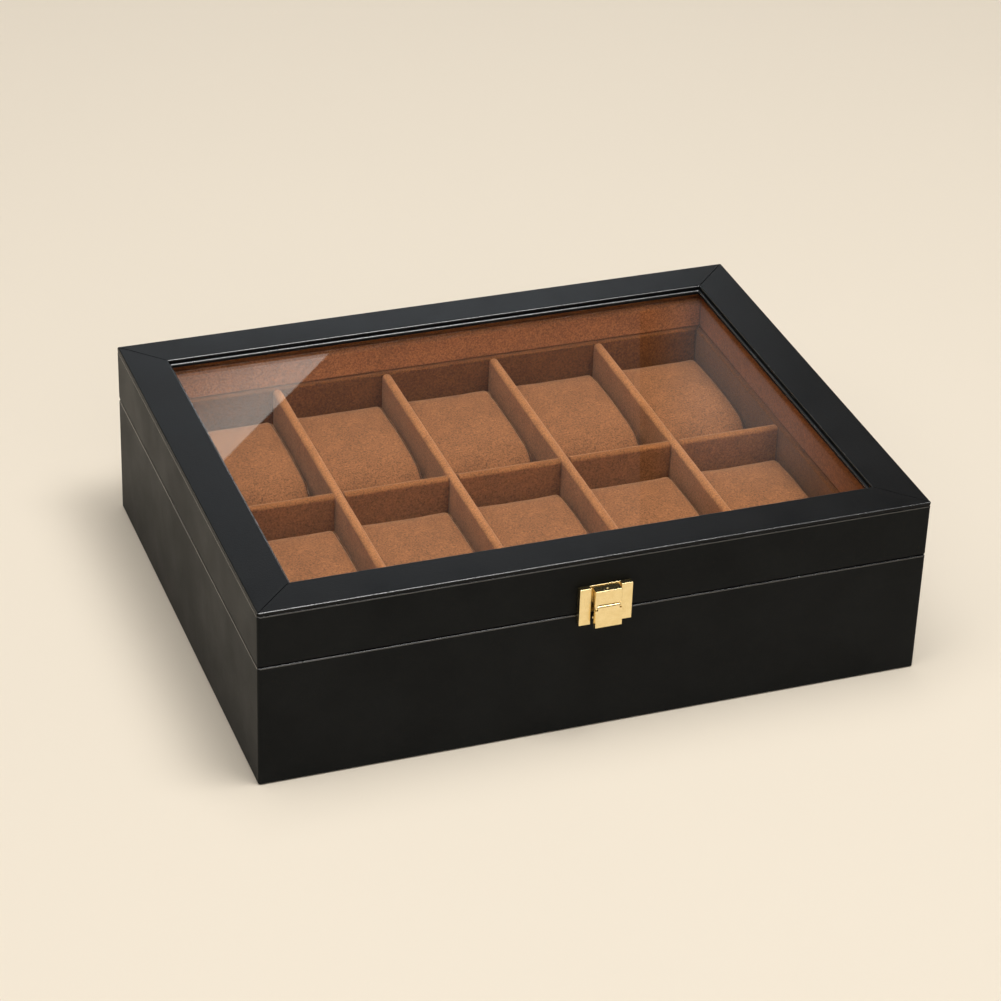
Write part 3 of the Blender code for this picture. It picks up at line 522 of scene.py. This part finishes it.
def add_ring(shape, profile, x, share, half, kind):
    """One ring of the cover, slightly gathered, most of all at a seam."""
    middle = half.z / 2
    gather = GATHER if by_seam(x, half) else GATHER / 3
    ring = []
    for y, z in profile:
        point = Vector((x, y * share, middle + (z - middle) * share))
        away = noise.noise_vector(point / GATHER_SIZE + Vector((kind * KIND_SHIFT, 0, 0)))
        ring.append(shape.verts.new(point + Vector((0, away.y, away.z)) * gather))
    return ring


def add_faces(shape, rings):
    """The faces between the rings, and fans that close both ends."""
    for one, two in zip(rings, rings[1:]):
        for index in range(len(one)):
            after = (index + 1) % len(one)
            shape.faces.new((one[index], two[index], two[after], one[after]))
    for ring in (rings[0], rings[-1]):
        middle = shape.verts.new(sum((point.co for point in ring), Vector()) / len(ring))
        for index in range(len(ring)):
            shape.faces.new((ring[index], ring[(index + 1) % len(ring)], middle))
    bmesh.ops.recalc_face_normals(shape, faces=shape.faces)


def start_pillow(kind, half):
    """The slack cover: the section drawn along x, and its two end panels."""
    profile = pillow_profile(half.y - START_INSET, half.z - START_INSET - PILLOW_CROWN)
    shape = bmesh.new()
    rings = [add_ring(shape, profile, x, share, half, kind) for x, share in pillow_rings(half)]
    add_faces(shape, rings)
    mesh = bpy.data.meshes.new(f"pillow_kind_{kind}")
    shape.to_mesh(mesh)
    shape.free()
    return link(bpy.data.objects.new(f"pillow_kind_{kind}", mesh))


def add_cover(pillow, held):
    """Cloth with air inside it, still where the held group is."""
    cloth = pillow.modifiers.new("cover", "CLOTH")
    settings = cloth.settings
    settings.mass = PILLOW_MASS
    settings.use_pressure = True
    settings.uniform_pressure_force = PILLOW_PRESSURE
    settings.effector_weights.gravity = 0
    settings.vertex_group_mass = held.name
    cloth.point_cache.frame_start = 1
    cloth.point_cache.frame_end = SIMULATED_FRAMES


def swell(pillow, half):
    """Cloth simulation: the cover fills out under pressure, held at its base and at its two end seams."""
    rest = [point.co.copy() for point in pillow.data.vertices]
    held = pillow.vertex_groups.new(name="held")
    for point in pillow.data.vertices:
        if point.co.z < BASE_ROUND / 2 or by_seam(point.co.x, half):
            held.add([point.index], 1.0, "REPLACE")
    add_cover(pillow, held)
    scene = bpy.context.scene
    for step in range(1, SIMULATED_FRAMES + 1):
        scene.frame_set(step)
    replace_mesh(pillow, evaluated_mesh(pillow))
    scene.frame_set(1)
    for point, start in zip(pillow.data.vertices, rest):
        moved = point.co - start
        if moved.length > PILLOW_CAP:
            point.co = start + moved.normalized() * PILLOW_CAP


def subdivide(pillow):
    finer = pillow.modifiers.new("finer", "SUBSURF")
    finer.levels = finer.render_levels = 1
    replace_mesh(pillow, evaluated_mesh(pillow))


def cut_seams(mesh, seam_x):
    """Edges round the pillow for the shape of the two furrows."""
    shape = bmesh.new()
    shape.from_mesh(mesh)
    for side in (-1, 1):
        for offset in SEAM_CUTS:
            at = Vector((side * (seam_x + offset * SEAM_WIDTH), 0, 0))
            geometry = shape.verts[:] + shape.edges[:] + shape.faces[:]
            bmesh.ops.bisect_plane(shape, geom=geometry, plane_co=at, plane_no=(1, 0, 0))
    shape.normal_update()
    shape.to_mesh(mesh)
    shape.free()


def sew_seams(pillow, half):
    """A narrow furrow round each end of the pillow, where the end panel is sewn to the cover."""
    mesh = pillow.data
    seam_x = half.x - SEAM_INSET
    cut_seams(mesh, seam_x)
    depth = mesh.attributes.new("furrow", "FLOAT", "POINT")
    normals = [point.normal.copy() for point in mesh.vertices]
    for point, normal in zip(mesh.vertices, normals):
        across = (abs(point.co.x) - seam_x) / SEAM_WIDTH
        amount = math.exp(-across * across)
        depth.data[point.index].value = amount
        point.co -= Vector((0, normal.y, normal.z)) * SEAM_DEPTH * amount
    mesh.shade_smooth()


def keep_in_room(pillow, half):
    """No point leaves the solid's space by more than the room beside it."""
    for point in pillow.data.vertices:
        point.co.x = max(-half.x - PILLOW_ROOM, min(half.x + PILLOW_ROOM, point.co.x))
        point.co.y = max(-half.y - PILLOW_ROOM, min(half.y + PILLOW_ROOM, point.co.y))
        point.co.z = max(0.0, point.co.z)


def make_pillow_kind(kind, half):
    pillow = start_pillow(kind, half)
    swell(pillow, half)
    subdivide(pillow)
    sew_seams(pillow, half)
    keep_in_room(pillow, half)
    mesh = pillow.data
    bpy.data.objects.remove(pillow)
    return mesh


def pillow_mesh(mesh, number):
    """A copy of the kind's mesh. Every second pillow is mirrored."""
    mesh = mesh.copy()
    if number % 2:
        mesh.transform(Matrix.Diagonal((-1, 1, 1, 1)))
        mesh.flip_normals()
    mesh.materials.clear()
    mesh.materials.append(PILLOW_SUEDE)
    return mesh


def add_pillows():
    low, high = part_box("watch_cushion_1")
    half = Vector(((high.x - low.x) / 2, (high.y - low.y) / 2, high.z - low.z))
    noise.seed_set(GATHER_SEED)
    kinds = [make_pillow_kind(kind, half) for kind in range(PILLOW_KINDS)]
    count = sum(name.startswith("watch_cushion_") for name in NODES)
    for number in range(1, count + 1):
        node = f"watch_cushion_{number}"
        low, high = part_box(node)
        mesh = pillow_mesh(kinds[number % PILLOW_KINDS], number)
        pillow = link(bpy.data.objects.new(f"suede_pillow_{number}", mesh))
        pillow.location = ((low.x + high.x) / 2, (low.y + high.y) / 2, low.z)
        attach(pillow, node)
        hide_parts(node)


def add_camera():
    data = bpy.data.cameras.new("camera")
    camera = link(bpy.data.objects.new("camera", data))
    data.sensor_width = SENSOR
    data.lens = FOCAL_PIXELS / IMAGE_SIDE * SENSOR
    data.clip_start = CLIP_START
    data.clip_end = CLIP_END
    turn = Matrix.Rotation(math.radians(CAMERA_AZIMUTH), 4, "Z")
    tilt = Matrix.Rotation(math.radians(90 - CAMERA_ELEVATION), 4, "X")
    roll = Matrix.Rotation(math.radians(CAMERA_ROLL), 4, "Z")
    camera.matrix_world = Matrix.Translation(CAMERA_PLACE) @ turn @ tilt @ roll
    bpy.context.scene.camera = camera
    return camera


def pixel_ray(camera, pixel):
    """The direction in which the camera sees a pixel of the photograph."""
    across = (pixel[0] - IMAGE_SIDE / 2) / FOCAL_PIXELS
    down = (pixel[1] - IMAGE_SIDE / 2) / FOCAL_PIXELS
    return (camera.matrix_world.to_3x3() @ Vector((across, -down, -1))).normalized()


def mirrored_ray(camera, pixel):
    """Where the line of sight of a pixel meets the glass's level, and which way it goes on from there."""
    ray = pixel_ray(camera, pixel)
    glass_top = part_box("glass_pane")[1].z
    start = camera.matrix_world.translation
    hit = start + ray * ((glass_top - start.z) / ray.z)
    return hit, Vector((ray.x, ray.y, -ray.z))


def card_corners(camera, pixels, distance):
    """The corners of a flat card square to the line of sight, so far from where that meets the glass."""
    middle_pixel = sum((Vector(pixel) for pixel in pixels), Vector((0, 0))) / len(pixels)
    hit, facing = mirrored_ray(camera, middle_pixel)
    level = facing.dot(hit) + distance
    corners = []
    for pixel in pixels:
        start, ray = mirrored_ray(camera, pixel)
        corners.append(start + ray * ((level - facing.dot(start)) / facing.dot(ray)))
    return corners


def card_mesh(name, corners):
    """One face with its own axes as texture coordinates: Y from the first corner, and X away from it."""
    shape = bmesh.new()
    face = shape.faces.new([shape.verts.new(corner) for corner in corners])
    layer = shape.loops.layers.uv.new("card")
    for loop, place in zip(face.loops, ((0, 0), (0, 1), (1, 1), (1, 0))):
        loop[layer].uv = place
    mesh = bpy.data.meshes.new(name)
    shape.to_mesh(mesh)
    shape.free()
    return mesh


def glow_material(name, strength, colour, ramps):
    material = bpy.data.materials.new(name)
    material.use_nodes = True
    tree = material.node_tree
    tree.nodes.remove(tree.nodes["Principled BSDF"])
    place = add_node(tree, "ShaderNodeTexCoord").outputs["UV"]
    axes = add_node(tree, "ShaderNodeSeparateXYZ", {"Vector": place}).outputs
    level = strength
    for axis, start, end, start_share, end_share in ramps:
        share = remap(
            tree, axes[axis], start_share, end_share, start, end, interpolation_type="SMOOTHSTEP"
        )
        level = add_maths(tree, "MULTIPLY", share, level)
    glow = add_node(tree, "ShaderNodeEmission", {"Color": (*colour, 1.0), "Strength": level})
    tree.links.new(glow.outputs["Emission"], tree.nodes["Material Output"].inputs["Surface"])
    return material


def add_glow_card(name, camera, pixels, distance, strength, colour, ramps):
    """A flat glowing card that only mirrors show."""
    mesh = card_mesh(name, card_corners(camera, pixels, distance))
    mesh.materials.append(glow_material(name, strength, colour, ramps))
    card = link(bpy.data.objects.new(name, mesh))
    card.visible_camera = False
    card.visible_diffuse = False
    card.visible_shadow = False


def glare_pixels():
    """The glare's corners: its sharp edge drawn out both ways, and the far side of its width."""
    start, end = (Vector(pixel) for pixel in GLARE_EDGE)
    along = (end - start).normalized()
    away = Vector((along.y, -along.x)) * GLARE_WIDTH
    near = (start - along * GLARE_REACH, end + along * GLARE_REACH)
    return (*near, near[1] + away, near[0] + away)


def add_glow_cards(camera):
    cards = (
        ("glare", glare_pixels(), GLARE_DISTANCE, GLARE_STRENGTH, GLARE_COLOUR, GLARE_RAMPS),
        ("veil", VEIL_PIXELS, GLARE_DISTANCE, VEIL_STRENGTH, VEIL_COLOUR, VEIL_RAMPS),
        ("haze", HAZE_PIXELS, GLARE_DISTANCE, HAZE_STRENGTH, VEIL_COLOUR, HAZE_RAMPS),
        ("back", BACK_PIXELS, BACK_DISTANCE, BACK_STRENGTH, BACK_COLOUR, BACK_RAMPS),
    )
    for name, *settings in cards:
        add_glow_card(f"studio_{name}", camera, *settings)


def floor_profile():
    """The floor from its middle to its rim, and up the sweep, in x and z."""
    profile = [(0.0, 0.0), (FLOOR_RADIUS, 0.0)]
    for step in range(1, SWEEP_STEPS + 1):
        angle = math.radians(90 * step / SWEEP_STEPS)
        rise = SWEEP_RADIUS * (1 - math.cos(angle))
        profile.append((FLOOR_RADIUS + SWEEP_RADIUS * math.sin(angle), rise))
    return profile + [(FLOOR_RADIUS + SWEEP_RADIUS, SWEEP_HEIGHT)]


def floor_mesh():
    """The profile turned round the middle of the floor."""
    shape = bmesh.new()
    points = [shape.verts.new((x, 0, z)) for x, z in floor_profile()]
    edges = [shape.edges.new(pair) for pair in zip(points, points[1:])]
    whole = {"cent": (0, 0, 0), "axis": (0, 0, 1), "angle": math.tau, "steps": FLOOR_SIDES}
    bmesh.ops.spin(shape, geom=points + edges, use_merge=True, **whole)
    bmesh.ops.remove_doubles(shape, verts=shape.verts, dist=FLOOR_JOIN)
    bmesh.ops.recalc_face_normals(shape, faces=shape.faces)
    mesh = bpy.data.meshes.new("studio_floor")
    shape.to_mesh(mesh)
    shape.free()
    mesh.shade_smooth()
    return mesh


def cream_paper():
    material, tree, shader, place = start_material("cream_paper")
    deep = tuple(FLOOR_SHADE * part for part in FLOOR_COLOUR)
    colour = mix_colours(tree, add_noise(tree, place, FLOOR_MOTTLE), deep, FLOOR_COLOUR)
    tree.links.new(colour, shader.inputs["Base Color"])
    shader.inputs["Roughness"].default_value = 0.9
    shader.inputs["Specular IOR Level"].default_value = 0.1
    return material


def add_floor():
    floor = link(bpy.data.objects.new("studio_floor", floor_mesh()))
    floor.data.materials.append(cream_paper())


def add_lamp(name, place, width, height, power, colour):
    data = bpy.data.lights.new(name, "AREA")
    data.shape = "RECTANGLE"
    data.size = width
    data.size_y = height
    data.energy = power
    data.color = colour
    lamp = link(bpy.data.objects.new(name, data))
    lamp.location = place
    lamp.rotation_mode = "QUATERNION"
    lamp.rotation_quaternion = (Vector(LAMP_AIM) - Vector(place)).to_track_quat("-Z", "Y")


def set_world():
    world = bpy.data.worlds.new("studio")
    world.use_nodes = True
    background = world.node_tree.nodes["Background"]
    background.inputs["Color"].default_value = (*WORLD_COLOUR, 1.0)
    background.inputs["Strength"].default_value = 1.0
    bpy.context.scene.world = world


for thing in NODES.values():
    dress_node(thing)
add_pillows()
camera = add_camera()
add_floor()
for name, settings in LAMPS.items():
    add_lamp(name, *settings)
add_glow_cards(camera)
set_world()
bpy.context.scene.view_settings.view_transform = "Standard"
